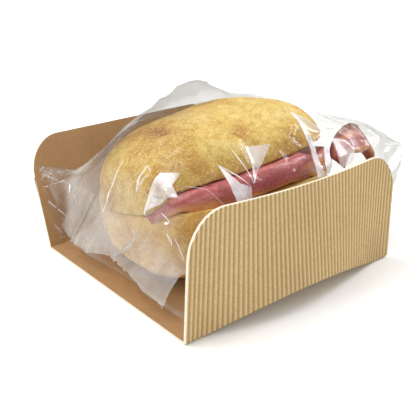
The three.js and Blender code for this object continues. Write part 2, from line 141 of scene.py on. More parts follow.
# Materials.
class Nodes:
    """Short calls for building a node material."""

    def __init__(self, name):
        self.material = bpy.data.materials.new(name)
        self.material.use_nodes = True
        self.tree = self.material.node_tree
        self.tree.nodes.clear()
        self.out = self.tree.nodes.new("ShaderNodeOutputMaterial")
        self.coords = self.tree.nodes.new("ShaderNodeTexCoord").outputs["Object"]

    def link(self, a, b):
        self.tree.links.new(a, b)

    def node(self, kind, **values):
        made = self.tree.nodes.new(kind)
        for key, value in values.items():
            setattr(made, key, value)
        return made

    def shader(self, **values):
        """A principled shader. Input names are given with _ for each space."""
        made = self.node("ShaderNodeBsdfPrincipled")
        for key, value in values.items():
            made.inputs[key.replace("_", " ")].default_value = value
        return made

    def stretched(self, vector, stretch):
        mapping = self.node("ShaderNodeMapping")
        mapping.inputs["Scale"].default_value = stretch
        self.link(vector, mapping.inputs["Vector"])
        return mapping.outputs["Vector"]

    def noise(self, scale, detail=4.0, rough=0.55, stretch=(1, 1, 1), warp=0.0):
        made = self.node("ShaderNodeTexNoise")
        made.inputs["Scale"].default_value = scale
        made.inputs["Detail"].default_value = detail
        made.inputs["Roughness"].default_value = rough
        made.inputs["Distortion"].default_value = warp
        self.link(self.stretched(self.coords, stretch), made.inputs["Vector"])
        return made.outputs["Fac"]

    def ramp(self, value, stops):
        made = self.node("ShaderNodeValToRGB")
        elements = made.color_ramp.elements
        while len(elements) < len(stops):
            elements.new(0.5)
        for element, (place, color) in zip(elements, stops):
            element.position = place
            element.color = (*color, 1.0)
        self.link(value, made.inputs["Fac"])
        return made.outputs["Color"]

    def mix(self, factor, a, b, mode="MIX"):
        made = self.node("ShaderNodeMix", data_type="RGBA", blend_type=mode)
        if isinstance(factor, (int, float)):
            made.inputs[0].default_value = factor
        else:
            self.link(factor, made.inputs[0])
        for socket, value in ((made.inputs[6], a), (made.inputs[7], b)):
            if isinstance(value, tuple):
                socket.default_value = (*value, 1.0)
            else:
                self.link(value, socket)
        return made.outputs[2]

    def math(self, kind, a, b=0.0, clamp=False):
        made = self.node("ShaderNodeMath", operation=kind, use_clamp=clamp)
        for socket, value in ((made.inputs[0], a), (made.inputs[1], b)):
            if isinstance(value, (int, float)):
                socket.default_value = value
            else:
                self.link(value, socket)
        return made.outputs[0]

    def vector(self, kind, a, b=None):
        made = self.node("ShaderNodeVectorMath", operation=kind)
        for socket, value in ((made.inputs[0], a), (made.inputs[1], b)):
            if isinstance(value, tuple):
                socket.default_value = value
            elif value is not None:
                self.link(value, socket)
        return made.outputs[0]

    def scaled(self, a, amount):
        made = self.node("ShaderNodeVectorMath", operation="SCALE")
        self.link(a, made.inputs[0])
        self.link(amount, made.inputs["Scale"])
        return made.outputs[0]

    def cells(self, scale, stretch, feature="F1"):
        """Flat cells with wavy borders: a random colour for each, or how far a place is from a border."""
        warp = self.node("ShaderNodeTexNoise")
        warp.inputs["Scale"].default_value = 45
        self.link(self.coords, warp.inputs["Vector"])
        shift = self.vector("SUBTRACT", warp.outputs["Color"], (0.5, 0.5, 0.5))
        shift = self.vector("MULTIPLY", shift, (0.012,) * 3)
        made = self.node("ShaderNodeTexVoronoi", feature=feature)
        made.inputs["Scale"].default_value = scale
        self.link(self.stretched(self.vector("ADD", self.coords, shift), stretch), made.inputs["Vector"])
        return made.outputs["Color" if feature == "F1" else "Distance"]

    def attribute(self, name):
        made = self.node("ShaderNodeAttribute", attribute_name=name)
        return made.outputs["Fac"]

    def bump(self, height, strength, distance, normal=None):
        made = self.node("ShaderNodeBump")
        made.inputs["Strength"].default_value = strength
        made.inputs["Distance"].default_value = distance
        self.link(height, made.inputs["Height"])
        if normal is not None:
            self.link(normal, made.inputs["Normal"])
        return made.outputs["Normal"]

    def blend(self, factor, a, b):
        """Shader a where the factor is 0, b where it is 1."""
        made = self.node("ShaderNodeMixShader")
        for value, socket in zip((factor, a, b), made.inputs):
            self.link(value, socket)
        return made.outputs[0]

    def finish(self, surface):
        self.link(surface, self.out.inputs["Surface"])
        return self.material

    def plain(self, color, normal=None, **values):
        """The finished material, with one principled shader."""
        made = self.shader(**values)
        self.link(color, made.inputs["Base Color"])
        if normal is not None:
            self.link(normal, made.inputs["Normal"])
        return self.finish(made.outputs[0])


def board_outside():
    n = Nodes("board_outside")
    # Painted shade and light: darker in the flute troughs and lighter on the crests, following each point's place
    # on the flute wave.
    tones = [(0.0, (0.41, 0.27, 0.115)), (0.45, (0.54, 0.385, 0.185)), (1.0, (0.69, 0.535, 0.295))]
    base = n.ramp(n.attribute("painted_flute_light"), tones)
    fibres = n.noise(900, 5, 0.6, (0.5, 0.5, 3.0))
    fleck = n.ramp(fibres, [(0.35, (0.8, 0.78, 0.74)), (0.62, (1.05, 1.04, 1.02))])
    cloud = n.ramp(n.noise(26, 3), [(0.3, (0.93, 0.92, 0.9)), (0.7, (1.03, 1.03, 1.03))])
    color = n.mix(1.0, n.mix(0.75, base, fleck, "MULTIPLY"), cloud, "MULTIPLY")
    return n.plain(color, n.bump(fibres, 0.25, 0.0002), Roughness=0.78, Specular_IOR_Level=0.25)


def board_inside():
    n = Nodes("board_inside")
    fibres = n.noise(700, 6, 0.65, (1.0, 0.35, 1.0), 0.3)
    cloud = n.noise(40, 4)
    base = n.ramp(cloud, [(0.3, (0.36, 0.205, 0.092)), (0.7, (0.43, 0.25, 0.115))])
    fleck = n.ramp(fibres, [(0.3, (0.86, 0.84, 0.8)), (0.65, (1.04, 1.03, 1.02))])
    color = n.mix(0.8, base, fleck, "MULTIPLY")
    return n.plain(color, n.bump(fibres, 0.2, 0.00015), Roughness=0.7, Specular_IOR_Level=0.3)


def board_edge():
    n = Nodes("board_edge")
    fibres = n.noise(1500, 4, 0.6)
    color = n.ramp(fibres, [(0.3, (0.7, 0.6, 0.45)), (0.7, (0.88, 0.82, 0.7))])
    return n.plain(color, n.bump(fibres, 0.4, 0.0002), Roughness=0.85)


def crust(name, low, mid, high, dust):
    """Baked crust: toasted patches, a dusting of meal and a fine rough skin."""
    n = Nodes(name)
    patches = n.noise(48, 6, 0.62, warp=0.6)
    base = n.ramp(patches, [(0.34, low), (0.5, mid), (0.66, high)])
    base = n.mix(n.attribute("toast"), base, (0.36, 0.165, 0.045))
    mottle = n.ramp(n.noise(230, 5, 0.72), [(0.38, (0.8, 0.64, 0.42)), (0.56, (1.04, 1.03, 1.0))])
    base = n.mix(0.75, base, mottle, "MULTIPLY")
    meal = n.noise(1100, 3, 0.7)
    fine = n.noise(2600, 2, 0.5)
    dusted = n.math("MULTIPLY", n.ramp(meal, [(0.52, (0, 0, 0)), (0.66, (1, 1, 1))]), dust)
    color = n.mix(dusted, base, (0.93, 0.77, 0.42))
    pits = n.ramp(fine, [(0.3, (0.74, 0.7, 0.6)), (0.55, (1.0, 1.0, 1.0))])
    normal = n.bump(meal, 0.55, 0.0005)
    normal = n.bump(fine, 0.3, 0.0002, normal)
    return n.plain(
        n.mix(0.6, color, pits, "MULTIPLY"), n.bump(patches, 0.4, 0.0012, normal), Roughness=0.72,
        Specular_IOR_Level=0.3, Subsurface_Weight=0.08, Subsurface_Radius=(0.003, 0.0016, 0.0007),
    )


def bacon_material():
    """Cooked rasher: red lean, pale orange fat streaks, browned rim, greasy sheen."""
    n = Nodes("bacon_meat")
    streak = n.noise(60, 5, 0.6, (0.5, 2.6, 2.6), 0.8)
    tones = [(0.3, (0.32, 0.045, 0.048)), (0.5, (0.5, 0.115, 0.12)), (0.7, (0.64, 0.26, 0.22))]
    fat = n.ramp(n.noise(160, 4, 0.6), [(0.3, (0.5, 0.17, 0.045)), (0.7, (0.7, 0.36, 0.13))])
    grain = n.noise(520, 4, 0.7)
    specks = n.ramp(grain, [(0.32, (0.7, 0.62, 0.6)), (0.5, (1, 1, 1)), (0.68, (1.25, 1.45, 1.4))])
    lean = n.mix(0.8, n.ramp(streak, tones), specks, "MULTIPLY")
    color = n.mix(n.attribute("fat"), lean, fat)
    color = n.mix(n.attribute("char"), color, (0.25, 0.068, 0.026))
    normal = n.bump(grain, 0.45, 0.0005, n.bump(streak, 0.6, 0.001))
    return n.plain(
        color, normal, Roughness=0.32, Subsurface_Weight=0.15, Subsurface_Radius=(0.004, 0.001, 0.0006),
        Coat_Weight=0.25, Coat_Roughness=0.2,
    )


def film_material():
    """Clear film: crumpled into crisp facets, glossier at a grazing look, milky where it is doubled, with painted
    highlights on its folds, creases and free edges.
    """
    n = Nodes("clear_film")
    loose = n.attribute("loose")
    clear = n.node("ShaderNodeBsdfTransparent")
    greyed = [(0.0, (0.978, 0.98, 0.98)), (1.0, (0.7, 0.695, 0.675))]
    n.link(n.ramp(n.attribute("veil"), greyed), clear.inputs[0])
    body = n.shader(Roughness=0.45)
    # Painted highlight: where the laid folds and creases carry it, the film's body turns white, in place of lamps
    # glinting on the film.
    painted_highlight = n.attribute("painted_highlight")
    tones = [(0.0, (0.78, 0.775, 0.75)), (0.35, (0.82, 0.8, 0.86)), (0.8, (0.97, 0.97, 1.0))]
    n.link(n.ramp(painted_highlight, tones), body.inputs["Base Color"])
    cloud = n.noise(70, warp=0.8)
    streak = n.noise(160, 4, 0.6, (1.0, 0.25, 0.5), 1.2)
    varied = n.math("ADD", cloud, n.math("MULTIPLY", streak, 0.8))
    milk = n.math("MULTIPLY", n.attribute("milk"), varied, True)
    # White crease lines: partly stress whitening, partly painted highlight along the creases.
    lines = None
    for scale, stretch, width in ((60, (1.0, 0.75, 0.42), 0.014), (120, (1.0, 0.45, 0.8), 0.02)):
        near = n.cells(scale, stretch, "DISTANCE_TO_EDGE")
        line = n.ramp(near, [(0.0, (1, 1, 1)), (width, (0, 0, 0))])
        lines = line if lines is None else n.math("MAXIMUM", lines, line)
    patchy = n.ramp(n.noise(55, 3), [(0.42, (0, 0, 0)), (0.62, (1, 1, 1))])
    lines = n.math("MULTIPLY", n.math("MULTIPLY", lines, patchy), n.attribute("creased"))
    # Painted highlight: a white line along the film's free edge, where the hem would catch the light.
    rim = n.ramp(n.attribute("present"), [(0.5, (1, 1, 1)), (0.6, (0, 0, 0))])
    # The painted highlight fades across each fold with the streak noise.
    soft = n.math("MULTIPLY", painted_highlight, n.ramp(streak, [(0.32, (0.5, 0.5, 0.5)), (0.6, (0.97, 0.97, 0.97))]))
    whitened = n.math("MAXIMUM", milk, soft)
    whitened = n.math("MAXIMUM", whitened, n.math("MULTIPLY", lines, 0.45))
    whitened = n.math("MAXIMUM", whitened, n.math("MULTIPLY", rim, 0.55))
    hazy = n.blend(whitened, clear.outputs[0], body.outputs[0])
    geometry = n.node("ShaderNodeNewGeometry")
    tilt = None
    for scale, stretch, weight in ((70, (1.0, 1.0, 0.55), 0.9), (190, (1.0, 0.8, 0.45), 0.55)):
        part = n.vector("SUBTRACT", n.cells(scale, stretch), (0.5, 0.5, 0.5))
        part = n.scaled(part, n.math("MULTIPLY", loose, weight))
        tilt = part if tilt is None else n.vector("ADD", tilt, part)
    normal = n.vector("NORMALIZE", n.vector("ADD", geometry.outputs["Normal"], tilt))
    normal = n.bump(n.noise(260, 2, 0.5, warp=0.6), 0.05, 0.0004, normal)
    gloss = n.node("ShaderNodeBsdfGlossy")
    gloss.inputs["Roughness"].default_value = 0.1
    n.link(normal, gloss.inputs["Normal"])
    facing = n.node("ShaderNodeLayerWeight")
    facing.inputs["Blend"].default_value = 0.5
    grazing = n.math("POWER", facing.outputs["Facing"], 4.5)
    head_on = n.math("ADD", n.math("MULTIPLY", loose, 0.08), 0.012)
    share = n.math("ADD", n.math("MULTIPLY", grazing, 0.45), head_on)
    # The painted highlight also makes the film a little glossier.
    share = n.math("ADD", share, n.math("MULTIPLY", painted_highlight, 0.06), True)
    film = n.blend(share, hazy, gloss.outputs[0])
    nothing = n.node("ShaderNodeBsdfTransparent")
    return n.finish(n.blend(n.math("GREATER_THAN", n.attribute("present"), 0.5), nothing.outputs[0], film))


BOARD_OUT = board_outside()
BOARD_IN = board_inside()
BOARD_EDGE = board_edge()
CRUST_TOP = crust("crust_top", (0.54, 0.3, 0.06), (0.72, 0.51, 0.13), (0.83, 0.66, 0.26), dust=0.6)
CRUST_LOW = crust("crust_low", (0.7, 0.4, 0.095), (0.86, 0.58, 0.18), (0.93, 0.72, 0.32), dust=0.4)
BACON = bacon_material()
FILM_MAT = film_material()


# Board tray.
def arch_share(u):
    w = min(1.0, abs(u) / (1 - FOOT / HALF_L))
    return (1 - w * w) ** POWER


def wall_face(side, u, t):
    lean = LEAN[side]
    share = arch_share(u)
    return (
        HALF_W + math.sin(lean) * WALL * t + (BOW * (1 - t) + TOP_BOW * t) * share,
        math.cos(lean) * WALL * t + (ARCH * (1 - t) - TOP_DIP * t) * share,
    )


def top_share(u):
    into = abs(u) * HALF_L - (HALF_L - CORNER_L)
    if into <= 0:
        return 1.0
    drop = CORNER_H * (1 - math.sqrt(max(0.0, 1 - (into / CORNER_L) ** 2)))
    return 1 - drop / WALL


def tray_section(u):
    """Points round the section with the face kind that follows each: 0 outside, 1 inside, 2 cut edge."""
    share = arch_share(u)
    floor = ARCH * share
    crease = HALF_W + BOW * share
    wave = 0.5 + 0.5 * math.cos(2 * math.pi * u * HALF_L / PITCH)
    t1 = top_share(u)
    t0 = FOLD / WALL

    def wall(side):
        y0, z0 = wall_face(side, u, t0)
        y1, z1 = wall_face(side, u, t1)
        length = math.hypot(y1 - y0, z1 - z0)
        ny, nz = (z1 - z0) / length, -(y1 - y0) / length
        slope = (y1 - y0) / (z1 - z0)
        inner = y0 + (floor + BOARD - z0) * slope - BOARD / ny

        def place(y, z, t):
            return (u * (HALF_L - TAPER * t), side * y, z)

        rise, out = nz * FLUTE * wave, ny * FLUTE * wave
        outside = [
            place(lerp(y1, y0, k / 6) + out, lerp(z1, z0, k / 6) + rise, lerp(t1, t0, k / 6))
            for k in range(7)
        ]
        inside = [
            place(lerp(inner, y1 - ny * BOARD, k / 6), lerp(floor + BOARD, z1 - nz * BOARD, k / 6), t1 * k / 6)
            for k in range(7)
        ]
        return outside, inside

    near_out, near_in = wall(-1)
    far_out, far_in = wall(1)
    points = []
    kinds = []

    def add(items, kind):
        for p in items:
            points.append(p)
            kinds.append(kind)

    add(near_out, 0)
    add([(u * HALF_L, lerp(-crease + FOLD, crease - FOLD, k / 8), floor) for k in range(9)], 0)
    add(list(reversed(far_out)), 0)
    kinds[-1] = 2
    add(list(reversed(far_in)), 1)
    add([(u * HALF_L, lerp(far_in[0][1], near_in[0][1], k / 8), floor + BOARD) for k in range(1, 8)], 1)
    add(near_in, 1)
    kinds[-1] = 2
    return points, kinds, wave


def build_tray():
    steps = round(LENGTH / PITCH * 8)
    points, faces, picks, painted_flute_light = [], [], [], []
    for i in range(steps + 1):
        section, kinds, wave = tray_section(-1 + 2 * i / steps)
        count = len(section)
        points.extend(section)
        # Each point's place on the flute wave, which the outside board turns into painted shade in the troughs and
        # painted light on the crests.
        painted_flute_light.extend([wave] * count)
    for i in range(steps):
        a, b = i * count, (i + 1) * count
        for j in range(count):
            k = (j + 1) % count
            faces.append((a + j, a + k, b + k, b + j))
            picks.append(kinds[j])
    # The strips at the two ends run between the section's outer and inner points.
    outer = 7 + 9 + 7
    for base, turn in ((0, False), (steps * count, True)):
        for j in range(count - outer - 1):
            a, b = base + j, base + count - 1 - j
            face = (a, b, b - 1, a + 1)
            faces.append(tuple(reversed(face)) if turn else face)
            picks.append(2)
    obj = make("board_tray", points, faces, [BOARD_OUT, BOARD_IN, BOARD_EDGE], {"painted_flute_light": painted_flute_light}, picks)
    mark_sharp(obj, 38)
    return obj


def mark_sharp(obj, degrees):
    """Sharp edges where faces turn by more than the angle."""
    bm = bmesh.new()
    bm.from_mesh(obj.data)
    for edge in bm.edges:
        if len(edge.link_faces) == 2 and edge.calc_face_angle(0.0) > math.radians(degrees):
            edge.smooth = False
    bm.to_mesh(obj.data)
    bm.free()


tray = build_tray()
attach(tray, "root")
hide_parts("card_tray")


# Roll.
def slit(x, y):
    """The baked-in slit across the top, 1 along its middle."""
    return math.exp(-((x + 34 - 0.06 * (y + 7)) / 1.9) ** 2) * smooth(-17, -12, y) * smooth(3, -2, y)


def half_roll(
    name, length, width, height, profile, slope, material, place, seed, lump, wrap, reach, sag, toast,
):
    """Half a roll as a dome on its cut face. Its left end wraps down, reaches out and sags by these lengths."""
    rings, segments = 56, 160
    points, faces, shade = [], [], []
    offset = Vector((seed * 7.1, seed * 3.3, seed * 1.7))

    def bumped(p, rise):
        q = Vector(p) * 0.045 + offset
        amount = lump * (noise.fractal(q, 0.9, 2.1, 4) * 0.9)
        fine = 0.16 * noise.noise(Vector(p) * 0.55 + offset)
        keep = smooth(0.0, 0.12, rise)
        n = Vector((p[0] / length ** 2, p[1] / width ** 2, p[2] / (2 * height) ** 2)).normalized()
        out = Vector(p) + n * (amount - lump * 0.7 + fine) * lerp(0.5, 1.0, keep)
        if rise <= 0.001:
            ragged = 0.0 if slope else 0.8 * noise.noise(Vector(p) * 0.32 + offset)
            out.z = slope * out.y + ragged
        out.z -= wrap * smooth(-43, -57, p[0]) * (1 - rise) ** 2
        out.x -= reach * smooth(-15, -50, p[0])
        out.z += sag * smooth(-12, -58, p[0]) * smooth(0.1, 0.6, rise)
        if slope == 0.0:
            out.z -= 1.6 * slit(p[0], p[1])
        return out

    for i in range(rings):
        rise = i / rings * math.pi / 2
        for j in range(segments):
            turn = j / segments * 2 * math.pi
            boxy = profile + 0.22 * sag * smooth(0.2, -0.8, math.cos(turn))
            spread = math.cos(rise) ** (2 / boxy)
            blunt = ROLL_PLAN + 0.7 * smooth(0.3, -0.5, math.cos(turn))
            x = length / 2 * spread * power(math.cos(turn), 2 / blunt)
            y = width / 2 * spread * power(math.sin(turn), 2 / blunt)
            level = math.sin(rise) ** (2 / boxy)
            p = (x, y, height * level + slope * y * (1 - level))
            points.append(bumped(p, i / rings))
            shade.append(toast(p, i / rings))
    pole = len(points)
    points.append(bumped((0, 0, height), 1.0))
    shade.append(toast((0, 0, height), 1.0))
    inner = len(points)
    for r in (0.94, 0.6, 0.3):
        for j in range(segments):
            p = points[j]
            dip = 0.25 + 0.5 * (1 - r) + 0.3 * noise.noise(Vector(p) * 0.2 * r + offset)
            points.append(Vector((p[0] * r, p[1] * r, slope * p[1] * r + max(0.05, dip))))
            shade.append(0.0)
    centre = len(points)
    points.append(Vector((0, 0, 0.6)))
    shade.append(0.0)
    for j in range(segments):
        k = (j + 1) % segments
        for i in range(rings - 1):
            a, b = i * segments, (i + 1) * segments
            faces.append((a + j, a + k, b + k, b + j))
        faces.append(((rings - 1) * segments + j, (rings - 1) * segments + k, pole))
        faces.append((k, j, inner + j, inner + k))
        for m in range(2):
            a, b = inner + m * segments, inner + (m + 1) * segments
            faces.append((a + k, a + j, b + j, b + k))
        faces.append((inner + 2 * segments + k, inner + 2 * segments + j, centre))
    return make(name, [place @ Vector(p) for p in points], faces, [material], {"toast": shade})


# Toasted spots of the crown: x, y, radius and strength.
TOASTED = [
    (-33, -6, 10, 0.5), (-16, 4, 13, 0.35), (-4, 16, 13, 0.35), (20, 22, 14, 0.3), (44, 4, 12, 0.35),
    (-38, -14, 12, 0.3),
]


def crown_toast(p, rise):
    x, y, _ = p
    value = sum(s * math.exp(-((x - a) ** 2 + (y - b) ** 2) / (2 * r * r)) for a, b, r, s in TOASTED)
    grain = 0.5 + 0.5 * noise.noise(Vector(p) * 0.16)
    rim = 0.5 * smooth(0.16, 0.0, rise) * smooth(-45, -30, x)
    left = 0.3 * smooth(-25, -50, x) * (0.5 + 0.5 * noise.noise(Vector(p) * 0.5))
    return min(0.95, value * (0.35 + 1.1 * grain) * 0.8 + rim * grain + left + 1.1 * slit(x, y))


def heel_toast(p, rise):
    grain = 0.5 + 0.5 * noise.noise(Vector(p) * 0.12)
    rim = 0.25 * smooth(0.1, 0.0, rise) * smooth(-45, -30, p[0])
    return min(0.7, 0.25 * grain + 0.35 * smooth(0.5, 0.95, rise) * grain + rim)


crown_place = (
    Matrix.Translation((ROLL_X, CROWN_Y, CROWN_Z))
    @ Matrix.Rotation(-CROWN_ROLL, 4, "Y")
    @ Matrix.Rotation(-CROWN_TILT, 4, "X")
)
crown = half_roll(
    "roll_crown", length=116.0, width=CROWN_W, height=CROWN_H, profile=2.1, slope=0.0,
    material=CRUST_TOP, place=crown_place, seed=1.0, lump=1.3, wrap=9.0, reach=3.5, sag=0.0, toast=crown_toast,
)
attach(crown, "root")
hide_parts("bun_crown")

heel_place = Matrix.Translation((ROLL_X - 2, HEEL_Y, HEEL_TOP)) @ Matrix.Rotation(math.pi, 4, "X")
heel = half_roll(
    "roll_heel", length=115.0, width=91.0, height=HEEL_H, profile=3.2, slope=-HEEL_SLOPE,
    material=CRUST_LOW, place=heel_place, seed=2.0, lump=1.2, wrap=-4.0, reach=0.0, sag=9.5, toast=heel_toast,
)
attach(heel, "root")
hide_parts("bun_heel")


# Bacon.
def crown_floor(x, y):
    return CROWN_Z - math.tan(CROWN_TILT) * (y - CROWN_Y) + math.tan(CROWN_ROLL) * (x - ROLL_X)


def heel_face(y):
    return HEEL_TOP - HEEL_SLOPE * (y - HEEL_Y)


def ribbon(name, along, across, centre, thickness, fat, char):
    """A closed soft strip. centre(u, v) gives a point, thickness(u, v) its height there."""
    points, faces, fats, chars = [], [], [], []
    rows = across + 1

    def normal(u, v):
        e = 0.002
        a = centre(min(1, u + e), v) - centre(max(0, u - e), v)
        b = centre(u, min(1, v + e)) - centre(u, max(0, v - e))
        return a.cross(b).normalized()

    for face in (0.5, -0.5):
        for i in range(along + 1):
            for j in range(rows):
                u, v = i / along, j / across
                edge = min(v, 1 - v, u * 2.0, (1 - u) * 2.0)
                round_off = math.sqrt(max(0.0, 1 - (1 - min(1.0, edge / 0.08)) ** 2))
                p = centre(u, v) + normal(u, v) * thickness(u, v) * face * max(0.06, round_off)
                points.append(p)
                fats.append(fat(u, v))
                chars.append(char(u, v))
    under = (along + 1) * rows
    for i in range(along):
        for j in range(across):
            a = i * rows + j
            faces.append((a, a + rows, a + rows + 1, a + 1))
            faces.append((under + a, under + a + 1, under + a + rows + 1, under + a + rows))
        a, b = i * rows, i * rows + across
        faces.append((a, under + a, under + a + rows, a + rows))
        faces.append((b, b + rows, under + b + rows, under + b))
    for j in range(across):
        a, b = j, along * rows + j
        faces.append((a, a + 1, under + a + 1, under + a))
        faces.append((b, under + b, under + b + 1, b + 1))
    obj = make(name, points, faces, [BACON], {"fat": fats, "char": chars})
    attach(obj, "root")
    return obj


def rim_y(x):
    """The near rim of the top half, seen from above."""
    plan = ROLL_PLAN if x > ROLL_X else ROLL_PLAN + 0.7
    share = min(1.0, abs((x - ROLL_X) / 60.0)) ** plan
    return CROWN_Y - 37.5 * max(0.03, 1 - share) ** (1 / plan)


def stack_rasher(name, x0, x1, far, out, level, drop, thick, seed, bend=2.4, sag=0.0, fat_edge=2.4):
    """A rasher between the halves, from x0 to x1 and from the near rim to far.

    level is its share of the way up the filling. Its near side runs out past the rim, bends over and drops.
    """

    def centre(u, v):
        x = lerp(x0, x1, u)
        n1 = noise.noise(Vector((u * 5 + seed, seed, 0)))
        n2 = noise.noise(Vector((u * 8, v * 2.0, seed * 3)))
        n3 = noise.noise(Vector((u * 20, v * 4, seed * 5)))
        edge = rim_y(x) - out + 1.0 * n1
        y = lerp(edge, max(far, edge + 8), max(0.0, v - 0.4) / 0.6)
        low = heel_face(y) + 1.0
        high = crown_floor(x, y) - 0.5 - thick / 2
        z = lerp(low, high, level) - sag * smooth(0.74, 0.84, u) - 8.0 * smooth(-43, -57, x)
        if v < 0.4:
            t = (0.4 - v) / 0.4 * math.pi / 2
            y -= bend * math.sin(t)
            z -= drop * lerp(0.25, 1, smooth(0, 0.2, u)) * (1 - math.cos(t)) - 0.3 * n3 - 0.7 * math.sin(t) * n2
        return Vector((x, y, z))

    def fat(u, v):
        wide = 0.05 + 0.07 * smooth(0.55, 0.15, u)
        uneven = 0.7 + 0.8 * noise.noise(Vector((u * 7, seed, 2)))
        band = math.exp(-((v - 0.01) / wide) ** 2) * uneven * fat_edge
        streak = 0.6 * smooth(0.26, 0.5, noise.noise(Vector((u * 3, v * 7, seed))))
        layered = 0.8 * smooth(0.8, 0.84, u) * smooth(0.1, 0.4, noise.noise(Vector((u * 9, v * 26, seed + 2))))
        return min(1, max(0, band + streak + layered))

    def char(u, v):
        end = 0.7 * smooth(0.8, 0.86, u) * smooth(0.05, 0.35, noise.noise(Vector((u * 11, v * 22, seed + 9))))
        return min(0.9, 0.35 * smooth(0.15, 0.5, noise.noise(Vector((u * 14, v * 4, seed + 5)))) + end)

    return ribbon(name, 150, 40, centre, lambda u, v: thick * lerp(0.3, 1, smooth(0, 0.18, u)), fat, char)


low_rasher = stack_rasher(
    "rasher_lower", x0=-50, x1=54, far=-8, out=3.0, level=0.1, drop=0.8, thick=2.6, seed=1.3,
)
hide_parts("bacon_rasher_lower")
mid_rasher = stack_rasher(
    "rasher_middle", x0=-52, x1=51, far=2, out=2.4, level=0.34, drop=2.0, thick=2.8, seed=4.1,
)
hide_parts("bacon_rasher_middle")
top_rasher = stack_rasher(
    "rasher_upper", x0=-54, x1=50, far=8, out=1.0, level=0.98, drop=8.4, thick=4.0, seed=7.7,
    bend=4.6, sag=3.5, fat_edge=1.5,
)
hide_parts("bacon_rasher_upper")


def through(four, t):
    """The place at t on a smooth curve from the second of four places to the third."""
    return [
        q + 0.5 * ((r - p) * t + (2 * p - 5 * q + 4 * r - s) * t * t + (3 * q - p - 3 * r + s) * t ** 3)
        for p, q, r, s in zip(*four)
    ]


def curl_route(u):
    """The curled end's middle line: x, and z over the heel, at the share u of its length."""
    keys = [(54.0, 5.0), (60.0, 16.5), (70.0, 19.0), (75.5, 15.0), (76.5, 7.0)]
    keys = [(2 * keys[0][0] - keys[1][0], 2 * keys[0][1] - keys[1][1])] + keys
    keys.append((2 * keys[-1][0] - keys[-2][0], 2 * keys[-1][1] - keys[-2][1]))
    spans = len(keys) - 3
    k = min(spans - 1, int(u * spans))
    return through(keys[k:k + 4], u * spans - k)


def curl_centre(u, v):
    x, z = curl_route(u)
    n = noise.noise(Vector((u * 4, v * 3, 8)))
    y = lerp(-36.0, -24.0, v) + 0.8 * noise.noise(Vector((u * 5, 3, v)))
    hang = lerp(-3.0, -10.5, smooth(0.1, 0.4, u))
    ruffle = 0.9 * noise.noise(Vector((u * 16, 4, 8))) * smooth(0.6, 1.0, v)
    return Vector((x + 0.6 * n, y, HEEL_TOP + z + 0.8 * n + lerp(hang, 0.6, v) + ruffle))


def curl_fat(u, v):
    return min(1, max(0, math.exp(-((v - 0.05) / 0.09) ** 2) + math.exp(-((v - 0.62) / 0.06) ** 2) * 0.7))


def curl_char(u, v):
    return min(1, 0.1 + 0.85 * smooth(0.66, 0.82, v) + 0.5 * smooth(0.72, 0.9, u))


curl = ribbon("rasher_curl", 60, 24, curl_centre, lambda u, v: 2.6, curl_fat, curl_char)
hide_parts("bacon_rasher_curled")


# Film bag.
def base_top(x):
    return ARCH * arch_share(x / HALF_L) + BOARD


